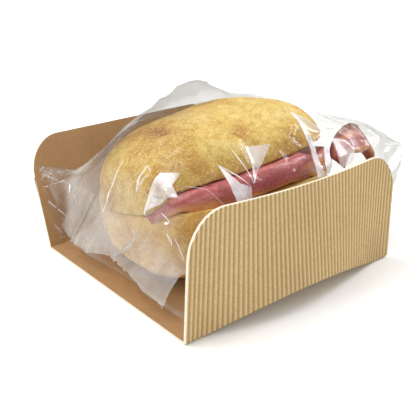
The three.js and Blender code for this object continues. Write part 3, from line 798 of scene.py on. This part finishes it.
# The bag's rings in percent of half the tray's length, half its width and the bag's height: x, then twelve
# places up the near side, over the top and down the far side.
RINGS = [
    (-94.6, [
        (-59.6, 4.2), (-63, 6.6), (-59.6, 9.3), (-34.1, 10), (0, 10.3), (34.1, 10.3),
        (64.7, 11), (85.2, 18.3), (111, 50.5), (119, 48.5), (97.1, 12.2), (80.1, 4.2),
    ]),
    (-92.6, [
        (-64.7, 3.4), (-71.6, 9.8), (-73.3, 22), (-64.7, 33), (-42.6, 40.3), (-13.6, 45.2),
        (23.9, 46.5), (64.7, 50), (100, 53.5), (113, 48), (97.1, 14.7), (83.5, 3.4),
    ]),
    (-88.5, [
        (-69.8, 3.1), (-78.4, 12.2), (-82.6, 31.8), (-76.7, 49.8), (-59.6, 62.4), (-29, 71.2),
        (6.8, 73), (40.9, 65), (75, 56), (102, 49), (95.4, 14.7), (85.2, 3.1),
    ]),
    (-76.9, [
        (-76.7, 0), (-85.2, 14.7), (-88.6, 36.7), (-83.5, 56.2), (-66.4, 71.5), (-34.1, 83),
        (3.4, 86.2), (35.8, 78.8), (68.1, 61.9), (95.4, 46.5), (93.7, 15.9), (83.5, 0),
    ]),
    (-56.9, [
        (-78.4, 0), (-88.6, 22), (-90.3, 41.6), (-86, 59.9), (-69.8, 75), (-40.9, 89),
        (1.7, 94.4), (35.8, 88.6), (68.1, 71.2), (95.4, 51.3), (93.7, 22), (83.5, 0),
    ]),
    (-35.4, [
        (-78.4, 0), (-90.3, 24.4), (-92, 42.8), (-86.9, 61.1), (-71.6, 77), (-42.6, 92.9),
        (1.7, 98.4), (35.8, 94.1), (66.4, 82.5), (95.4, 53.8), (95.4, 24.4), (83.5, 0),
    ]),
    (-15.4, [
        (-78.4, 0), (-90.3, 25.7), (-92, 44), (-87.7, 61.1), (-71.6, 78.2), (-42.6, 94.1),
        (1.7, 100.9), (35.8, 99), (64.7, 91.7), (97.1, 58.7), (97.1, 25.7), (83.5, 0),
    ]),
    (21.5, [
        (-78.4, 0), (-90.3, 25.7), (-92, 44), (-87.7, 61.1), (-71.6, 78.2), (-42.6, 94.7),
        (1.7, 100), (34.1, 102), (61.3, 101), (97.1, 62.3), (97.1, 25.7), (83.5, 0),
    ]),
    (46.2, [
        (-78.4, 0), (-90.3, 24.4), (-92, 42.8), (-87.7, 61.1), (-71.6, 77.6), (-42.6, 92.9),
        (1.7, 96.4), (35.8, 92.2), (61.3, 82), (95.4, 56.2), (95.4, 24.4), (83.5, 0),
    ]),
    (69.2, [
        (-78.4, 0), (-88.6, 22), (-92, 41.6), (-87.7, 59.9), (-71.6, 75.2), (-42.6, 88),
        (1.7, 92.5), (32.4, 87.6), (59.6, 75), (92, 51.3), (90.3, 22), (80.1, 0),
    ]),
    (89.2, [
        (-76.7, 0), (-86.9, 17.1), (-90.3, 37.9), (-86.9, 59.9), (-71.6, 73.5), (-42.6, 83),
        (-1.7, 83.1), (27.3, 77), (54.5, 66), (81.8, 47.7), (81.8, 17.1), (71.6, 0),
    ]),
    (107.7, [
        (-69.8, 9.8), (-81.8, 22), (-86.9, 41.6), (-84.3, 59.9), (-71.6, 73.4), (-46, 81.2),
        (-11.9, 75.8), (17, 68), (37.5, 59.9), (57.9, 44), (57.9, 24.4), (47.7, 11),
    ]),
    (127.7, [
        (-63, 26.9), (-75, 34.2), (-81.8, 46.5), (-80.1, 61.1), (-69.8, 69), (-51.1, 72.6),
        (-23.9, 70.6), (3.4, 63.6), (20.4, 57.5), (34.1, 46.5), (30.7, 35.5), (17, 26.9),
    ]),
    (141.5, [
        (-51.1, 29.3), (-64.7, 35.5), (-73.3, 46.5), (-73.3, 58.7), (-68.1, 64.8), (-54.5, 63.4),
        (-37.5, 61), (-20.4, 57.5), (-8.5, 49.5), (-5.1, 40.3), (-13.6, 30.6), (-30.7, 25.7),
    ]),
    (152.3, [
        (-51.1, 34.2), (-57.9, 40.3), (-64.7, 51.3), (-65.6, 57.5), (-62.2, 59.3), (-57.9, 56.8),
        (-52.8, 50.7), (-47.7, 44), (-42.6, 37.9), (-39.2, 33), (-40.9, 30.6), (-46, 30.6),
    ]),
]
BAG_RINGS = [(x / 100 * HALF_L, [(y / 100 * HALF_W, z / 100 * BAG_TOP) for y, z in ring]) for x, ring in RINGS]
RING_X = [x for x, _ in BAG_RINGS]


def ring_point(ring, w):
    """A place at the share w round one ring."""
    count = len(ring)
    k = int(math.floor(w * count))
    return through([ring[(k + m) % count] for m in (-1, 0, 1, 2)], w * count - k)


def bag_point(x, w):
    """A place on the drawn bag, x in mm along it and w the share round it."""
    x = min(RING_X[-1], max(RING_X[0], x))
    last = len(RING_X) - 1
    i = min(last - 1, max(k for k in range(last) if RING_X[k] <= x))
    t = (x - RING_X[i]) / (RING_X[i + 1] - RING_X[i])
    four = [ring_point(BAG_RINGS[min(last, max(0, i + m))][1], w) for m in (-1, 0, 1, 2)]
    return Vector((x, *through(four, t)))


# The two halves as the film lies on them: the way into each one's frame, its length, width and height, and the
# powers of its profile and plan.
HALVES = [
    ((Matrix.Translation((-2.2, 0, 0)) @ heel_place).inverted(), 120.4, 92.0, HEEL_H, 3.6, 2.8),
    ((Matrix.Translation((-1.7, 0, 0)) @ crown_place).inverted(), 119.4, CROWN_W, CROWN_H, 2.1, 2.9),
]


def touches_roll(p, clearance):
    for inverse, length, width, height, profile, plan in HALVES:
        q = inverse @ p
        if q.z < -clearance:
            continue
        across = (abs(q.x) / (length / 2 + clearance)) ** plan + (abs(q.y) / (width / 2 + clearance)) ** plan
        if across ** (profile / plan) + (max(0.0, q.z) / (height + clearance)) ** profile < 1:
            return True
    return False


# How far the film keeps off the base and the walls, and the length of each step out of the roll.
OFF_BASE, OFF_WALL, STEP_OUT = 0.9, 0.6, 0.4


def settle(p, clearance=0.8):
    """Keeps a place of the film off the tray and outside the roll."""
    x, y, z = p
    inside = abs(x) < HALF_L
    floor = (base_top(x) if inside else BOARD) + OFF_BASE
    z = max(z, floor)
    for _ in range(60):
        if not touches_roll(Vector((x, y, z)), clearance):
            break
        reach = math.hypot(y - HEEL_Y, z - HEEL_TOP)
        y += (y - HEEL_Y) / reach * STEP_OUT
        z = max(floor, z + (z - HEEL_TOP) / reach * STEP_OUT)
    if inside and z < WALL:
        side = -1 if y < 0 else 1
        lean = LEAN[side]
        wall_y, _ = wall_face(side, min(1.0, abs(x) / HALF_L), z / (math.cos(lean) * WALL))
        y = side * min(abs(y), wall_y - (BOARD + OFF_WALL) / math.cos(lean))
    return Vector((x, y, z))


def table(keys, x):
    """A value between given (x, value) pairs."""
    if x <= keys[0][0]:
        return keys[0][1]
    for (x0, v0), (x1, v1) in zip(keys, keys[1:]):
        if x <= x1:
            return lerp(v0, v1, (x - x0) / (x1 - x0))
    return keys[-1][1]


MOUTH_X = -57
HEM_X = -54
# The hem at the mouth: y across it and how high it hangs there.
HEM = [(-60, 62), (-50.6, 36), (-46, 27), (-41.7, 18.5), (-38, 8), (-35.2, 4.5), (-30, 6), (-22, 9), (-13.6, 11.3),
       (-4, 13.5), (4, 14.2), (12, 13.5), (22, 10.5), (30, 7.7), (38, 6), (46, 5), (52, 5), (62, 8), (70, 12)]


def mouth(p):
    """1 on the loose film at the open end, 0 on the rest."""
    return smooth(-52, MOUTH_X, p.x)


def flap(p):
    """1 on the film that stands up behind the crown, 0 on the rest."""
    return smooth(4, 24, p.y) * smooth(50, 62, p.z)


def haze_at(p):
    """How milky the film is: clear over the roll, doubled at the mouth, on the far side and at the sealed end."""
    top = 30 + 0.22 * (p.y + 30)
    skirt = (0.13 + 0.19 * smooth(top + 6, top - 2, p.z)) * smooth(50, 42, p.y) * smooth(62, 50, p.z)
    wing = 0.006 * smooth(40, 50, p.y)
    back = 0.24 * smooth(10, -36, p.x) * smooth(22, 40, p.y) * (1 - mouth(p))
    tail = 0.08 * smooth(62, 92, p.x)
    return 0.008 + mouth(p) * (skirt + wing) + back + tail + 0.1 * flap(p)


def veil_at(p):
    """How much the film greys what is behind it."""
    return min(1.0, flap(p) + 0.75 * smooth(55, 72, p.x) + 0.26 * mouth(p))


def looseness_at(p):
    """How crumpled the film is: drawn smooth over the roll, loose at both ends."""
    return 0.02 + 0.42 * mouth(p) + 0.12 * smooth(60, 85, p.x)


def creased_at(p):
    """How many white crease lines the film has: partly stress whitening, partly painted highlight along the
    creases.
    """
    skirt = mouth(p) * smooth(58, 40, p.z) * (0.45 + 0.4 * smooth(36, 48, p.y))
    return min(1.0, skirt + 0.1 * smooth(62, 85, p.x))


def present_at(p):
    """Over 0.5 where there is film: it ends in a ragged hem at the open end."""
    if p.x > HEM_X:
        return 1.0
    ragged = 1.1 * noise.noise(Vector((0, p.y * 0.28, 3))) + 0.6 * noise.noise(Vector((0, p.y * 0.8, 9)))
    hem = lerp(-40, table(HEM, p.y) + ragged, smooth(HEM_X, MOUTH_X, p.x))
    return min(1.0, max(0.0, 0.5 + (p.z - hem) * 0.12))


MEASURES = {
    "milk": haze_at, "veil": veil_at, "loose": looseness_at, "creased": creased_at, "present": present_at,
}

# Painted highlights: flat folds painted white where the lamps would glint on them. Each corner is a place in mm
# and how white it is there.
PAINTED_HIGHLIGHT_FOLDS = [
    [(-51.6, -23.9, 63.8, 0.95), (-45.5, -31.4, 64.6, 0.35), (-51.1, -32.5, 60.4, 0.6), (-51.8, -37.5, 56.7, 0.55),
     (-58.9, -19, 45.1, 0.6), (-59.2, -16.5, 44.6, 0.85)],
    [(-29.5, -36.6, 66, 0.95), (-27.6, -39.6, 63.7, 0.9), (-24.3, -45.1, 58.5, 0.85), (-19.3, -47.4, 56.2, 0.7),
     (-21.5, -50, 51.5, 0.5), (-28.6, -49.6, 51.4, 0.75)],
    [(-11.5, -34.2, 70.2, 0.55), (1.6, -36.5, 68.5, 0.35), (-6.8, -41.1, 64, 0.35), (-13, -44.1, 60.6, 0.4),
     (-17.7, -46.8, 57, 0.75), (-12.9, -39.9, 65, 0.65)],
    [(27, -23, 75.8, 0.95), (28.3, -23.1, 75.6, 0.95), (23.1, -50.2, 51.9, 0.92), (19.1, -50.2, 51.9, 0.92)],
    [(27, -23, 75.8, 0.6), (40.2, -34.9, 67.1, 0.6), (35.1, -37.8, 65.8, 0.25), (25.1, -33.4, 70.7, 0.12)],
    [(34, -38.2, 65.6, 0.85), (37.2, -37.8, 65.4, 0.85), (28, -50, 52.2, 0.8), (23.7, -50.3, 51.8, 0.9)],
    [(38.6, -37.8, 65.1, 0.26), (55.2, -40.1, 60.8, 0.2), (44.7, -48.8, 53.1, 0.62), (36.1, -49.5, 52.7, 0.5)],
]
# Painted highlights along creases: places in mm along each, its width and how white it is.
PAINTED_HIGHLIGHT_CREASES = [
    ([(-54.7, 1, 63.5), (-58.4, 5.4, 51.6), (-60.3, 12.9, 34.7)], 0.75, 0.8),
    ([(-52.7, -15.8, 65), (-58.2, -13.1, 52.4)], 0.8, 0.8),
    ([(-53.5, -19.1, 63.3), (-58.2, -13.1, 52.4)], 0.5, 0.6),
    ([(-52.7, -15.8, 65), (-53.5, -19.1, 63.3)], 0.6, 0.7),
    ([(-29.5, -36.6, 66), (-24, -42, 61), (-19.3, -47.4, 56.2)], 0.5, 0.9),
    ([(-19.8, -33.8, 70), (-18.1, -40.5, 64), (-17.7, -46.8, 57)], 0.5, 0.85),
    ([(-11, -38.4, 66.5), (-17, -46.7, 57.2)], 0.6, 0.9),
    ([(-48.3, -35.7, 60.7), (-40.1, -42.2, 58.4), (-35.1, -48.8, 51.9)], 0.5, 0.35),
    ([(27, -23, 75.8), (40.2, -34.9, 67.1)], 0.6, 0.95),
    ([(34, -38.2, 65.6), (29.8, -44, 60), (23.7, -50.3, 51.8)], 0.6, 0.95),
    ([(37.2, -37.8, 65.4), (40.2, -34.9, 67.1)], 0.6, 0.8),
    ([(-57.9, -31.3, 49), (-57.8, -36.2, 46.6), (-58.2, -33.5, 44)], 0.7, 0.8),
    ([(-58.4, -36.1, 41.6), (-58.9, -39.3, 35.5)], 0.8, 0.7),
    ([(-58.2, -40, 40.7), (-57.7, -47.5, 30.8)], 0.5, 0.6),
    ([(-60.5, 72.1, 38), (-60.5, 72.2, 31.2), (-60.5, 70.1, 24.5), (-60.5, 59.4, 22.8), (-60.5, 45.9, 21.8)],
     0.7, 0.7),
    ([(-60.5, 72.1, 38), (-60.5, 65.6, 43.2), (-60.5, 47.6, 49.8)], 0.5, 0.6),
    ([(-60.5, 72.1, 38), (-60.5, 56.1, 38.5), (-60.5, 43.1, 40.1)], 0.4, 0.4),
    ([(-60.5, 56.1, 36.1), (-60.5, 45.7, 43), (-60.5, 37, 48.2)], 0.5, 0.55),
    ([(-60.5, 43.1, 40.1), (-60.5, 42.7, 35.5)], 1.4, 0.8),
    ([(-60.5, 39.8, 35.8), (-60.5, 34.1, 32.4)], 0.5, 0.6),
    ([(-60.5, 72.8, 16.1), (-60.5, 65.1, 21.5), (-60.5, 62, 24)], 0.5, 0.55),
    ([(-60.5, 70.8, 14.4), (-60.5, 60, 13), (-60.5, 52.2, 8.3)], 0.5, 0.45),
    ([(72.7, -44.5, 56.2), (80, -44, 54), (86.9, -43.2, 52.4)], 0.6, 0.8),
]


# The painted highlights of folds and creases are laid in steps of this length, this far outside the film.
LAY_STEP = 1.2
LAY_OUT = 0.3
ROLL_MIDDLE = (0, HEEL_Y, 35)


def lay(bm, surface, painted_highlight, p, strength):
    """A vertex just outside the film at the place nearest to p, in mm."""
    spot, normal, _, _ = surface.find_nearest(row(p))
    if normal.dot(spot - row(ROLL_MIDDLE)) < 0:
        normal = -normal
    vert = bm.verts.new(spot + normal * LAY_OUT * MM)
    vert[painted_highlight] = strength
    return vert, normal


def add_painted_fold(bm, surface, painted_highlight, corners):
    """A painted highlight on a flat fold: a fan of fine triangles from its middle, laid on the film."""
    places = [Vector(c[:3]) for c in corners]
    middle = sum(places, Vector()) / len(places)

    def strength(p):
        weights = [1 / (0.6 + (p - q).length) ** 2 for q in places]
        return sum(w * c[3] for w, c in zip(weights, corners)) / sum(weights)

    for a, b in zip(places, places[1:] + places[:1]):
        count = max(2, int(max((a - middle).length, (b - middle).length, (a - b).length) / LAY_STEP))
        rows = []
        for i in range(count + 1):
            start, end = lerp(middle, a, i / count), lerp(middle, b, i / count)
            rows.append([
                lay(bm, surface, painted_highlight, q, strength(q))[0]
                for q in (lerp(start, end, j / i if i else 0) for j in range(i + 1))
            ])
        for i in range(count):
            for j in range(i + 1):
                bm.faces.new((rows[i][j], rows[i + 1][j], rows[i + 1][j + 1]))
                if j < i:
                    bm.faces.new((rows[i][j], rows[i + 1][j + 1], rows[i][j + 1]))


def add_painted_crease(bm, surface, painted_highlight, places, width, strength):
    """A painted highlight along a thin crease, white and tapering to both ends, laid on the film."""
    stops = []
    for a, b in zip(places, places[1:]):
        a, b = Vector(a), Vector(b)
        count = max(2, int((b - a).length / LAY_STEP))
        stops += [lerp(a, b, k / count) for k in range(count)]
    stops.append(Vector(places[-1]))
    previous = None
    for k, p in enumerate(stops):
        t = k / (len(stops) - 1)
        ahead = (stops[min(k + 1, len(stops) - 1)] - stops[max(k - 1, 0)]).normalized()
        _, normal, _, _ = surface.find_nearest(row(p))
        taper = 0.25 + 0.75 * math.sin(math.pi * min(1, max(0, t))) ** 0.5
        side = ahead.cross(normal).normalized() * width * 0.5 * taper
        pair = [lay(bm, surface, painted_highlight, p + side * turn, strength)[0] for turn in (-1, 1)]
        if previous:
            bm.faces.new((previous[0], previous[1], pair[1], pair[0]))
        previous = pair


def film_object(name, bm):
    """The dense film: its facets rounded a little, and what the material reads measured at each point."""
    rough = bpy.data.meshes.new(name)
    bm.normal_update()
    bm.to_mesh(rough)
    bm.free()
    obj = placed(name, rough)
    sub = obj.modifiers.new("facets", "SUBSURF")
    sub.levels = sub.render_levels = 2
    bpy.context.view_layer.update()
    dense = bpy.data.meshes.new_from_object(obj.evaluated_get(bpy.context.evaluated_depsgraph_get()))
    obj.modifiers.clear()
    obj.data = dense
    dense.materials.clear()
    dense.materials.append(FILM_MAT)
    bm = bmesh.new()
    bm.from_mesh(dense)
    painted_highlight = bm.verts.layers.float.new("painted_highlight")
    surface = BVHTree.FromBMesh(bm)
    for corners in PAINTED_HIGHLIGHT_FOLDS:
        add_painted_fold(bm, surface, painted_highlight, corners)
    for route, width, strength in PAINTED_HIGHLIGHT_CREASES:
        add_painted_crease(bm, surface, painted_highlight, route, width, strength)
    bm.to_mesh(dense)
    bm.free()
    places = [v.co / MM - SHIFT for v in dense.vertices]
    for key, measure in MEASURES.items():
        values = [measure(p) for p in places]
        dense.attributes.new(key, "FLOAT", "POINT").data.foreach_set("value", values)
    dense.shade_smooth()
    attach(obj, "root")
    return obj


# Share of a cell that a corner of the film strays, how far it is pushed in, and where the loose film starts.
JITTER = 0.42
PUSH = (-0.35, 1.0)
LOOSE_X = -50


def build_bag():
    """The film as a grid of random facets pushed in from the drawn bag, loosest at both ends."""
    rng = random.Random(11)
    along, around = 32, 38
    bm = bmesh.new()
    grid = []
    for i in range(along + 1):
        ring = []
        for j in range(around):
            ds = rng.uniform(-JITTER, JITTER) if 0 < i < along else 0.0
            dj = rng.uniform(-JITTER, JITTER)
            x = lerp(RING_X[0], RING_X[-1], (i + ds) / along)
            w = ((j + dj + (0.5 if i % 2 else 0.0)) / around) % 1.0
            p = bag_point(x, w)
            du = bag_point(x + 0.4, w) - bag_point(x - 0.4, w)
            dv = bag_point(x, (w + 0.004) % 1) - bag_point(x, (w - 0.004) % 1)
            n = du.cross(dv).normalized()
            ends = smooth(-40, -58, p.x) + smooth(60, 90, p.x)
            behind = smooth(4, 20, p.y) * smooth(46, 58, p.z)
            before = smooth(40, 48, p.z) * smooth(0, -6, p.y)
            flat = 1 - 0.75 * behind - 0.45 * before
            tail = 1 - 0.55 * smooth(56, 66, p.x)
            depth = rng.uniform(*PUSH) * lerp(1.0, 3.0, min(1, ends)) * max(0.2, flat) * tail
            q = settle(p - n * depth) if 0 < i < along else settle(p)
            ring.append(bm.verts.new(row(q)))
        grid.append(ring)
    for i in range(along):
        for j in range(around):
            k = (j + 1) % around
            a, b, c, d = grid[i][j], grid[i][k], grid[i + 1][k], grid[i + 1][j]
            for tri in (((a, d, b), (b, d, c)) if i % 2 == 0 else ((a, d, c), (a, c, b))):
                bm.faces.new(tri)
    crumple(bm, rng)
    return film_object("film_bag_clear", bm)


def crumple(bm, rng):
    """Splits the film's facets again where it is loose, pushes the new corners about and sharpens the folds."""
    across = [(v.co / MM - SHIFT).x for v in bm.verts]
    bm.verts.index_update()
    edges = [e for e in bm.edges if (across[e.verts[0].index] + across[e.verts[1].index]) / 2 < LOOSE_X]
    bm.normal_update()
    before = set(bm.verts)
    bmesh.ops.subdivide_edges(bm, edges=edges, cuts=1, use_grid_fill=True)
    bmesh.ops.triangulate(bm, faces=[f for f in bm.faces if len(f.verts) > 3])
    bm.normal_update()
    for v in bm.verts:
        if v not in before:
            v.co -= v.normal * rng.uniform(*PUSH) * MM
            v.co += Vector([rng.uniform(-1, 1) for _ in range(3)]) * 0.5 * MM
            v.co = row(settle(v.co / MM - SHIFT, 0.5))
    crease = bm.edges.layers.float.new("crease_edge")
    for edge in bm.edges:
        edge[crease] = rng.choice((0.1, 0.4, 0.7, 0.9))


bag = build_bag()
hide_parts("film_bag")


# Stage.
FLOOR_REACH = 6.0
WORLD_LIGHT = 0.85
WORLD_IN_GLOSS = 0.35
# Area lights in metres and watts: place, target, size and power.
LIGHTS = {
    "key": ((-0.35, 0.35, 1.1), (0, 0, 0.03), (0.6, 0.6), 6.6),
    "window": ((0.85, -0.12, 0.62), (0, -0.02, 0.05), (0.3, 0.38), 4.2),
    "left": ((-1.1, 0.15, 0.55), (0, 0, 0.04), (0.16, 0.5), 2.2),
}
LENS = 64.83
CAMERA_PLACE = (-224.467, -272.467, 176.855)
CAMERA_TURN = math.radians(-38.93)
CAMERA_RISE = math.radians(23.395)


def floor_and_lights():
    n = Nodes("floor_pale")
    grain = n.ramp(n.noise(40, 2), [(0.0, (0.945, 0.945, 0.94)), (1.0, (0.955, 0.955, 0.95))])
    mesh = bpy.data.meshes.new("floor")
    r = FLOOR_REACH
    mesh.from_pydata([(-r, -r, 0), (r, -r, 0), (r, r, 0), (-r, r, 0)], [], [(0, 1, 2, 3)])
    mesh.materials.append(n.plain(grain, Roughness=0.9, Specular_IOR_Level=0.1))
    floor = placed("floor", mesh)

    world = bpy.data.worlds.new("studio")
    bpy.context.scene.world = world
    world.use_nodes = True
    tree = world.node_tree
    tree.nodes.clear()
    out = tree.nodes.new("ShaderNodeOutputWorld")
    path = tree.nodes.new("ShaderNodeLightPath")
    pick = tree.nodes.new("ShaderNodeMixShader")
    tree.links.new(path.outputs["Is Glossy Ray"], pick.inputs[0])
    for socket, strength in ((1, WORLD_LIGHT), (2, WORLD_IN_GLOSS)):
        light = tree.nodes.new("ShaderNodeBackground")
        light.inputs[0].default_value = (1.0, 1.0, 1.0, 1.0)
        light.inputs[1].default_value = strength
        tree.links.new(light.outputs[0], pick.inputs[socket])
    tree.links.new(pick.outputs[0], out.inputs["Surface"])

    for name, (place, target, size, watts) in LIGHTS.items():
        light = bpy.data.lights.new(name, "AREA")
        light.shape = "RECTANGLE"
        light.size, light.size_y = size
        light.energy = watts
        obj = placed(name, light)
        obj.location = place
        obj.rotation_euler = (Vector(target) - Vector(place)).to_track_quat("-Z", "Y").to_euler()


def camera():
    cam = bpy.data.cameras.new("camera")
    cam.sensor_width = 36.0
    cam.lens = LENS
    cam.clip_start = 0.01
    obj = placed("camera", cam)
    turn, rise = CAMERA_TURN, CAMERA_RISE
    back = Vector((math.sin(turn) * math.cos(rise), -math.cos(turn) * math.cos(rise), math.sin(rise)))
    obj.location = row(CAMERA_PLACE)
    obj.rotation_euler = (-back).to_track_quat("-Z", "Y").to_euler()
    bpy.context.scene.camera = obj


floor_and_lights()
camera()
bpy.context.scene.view_settings.view_transform = "Standard"
bpy.context.view_layer.update()
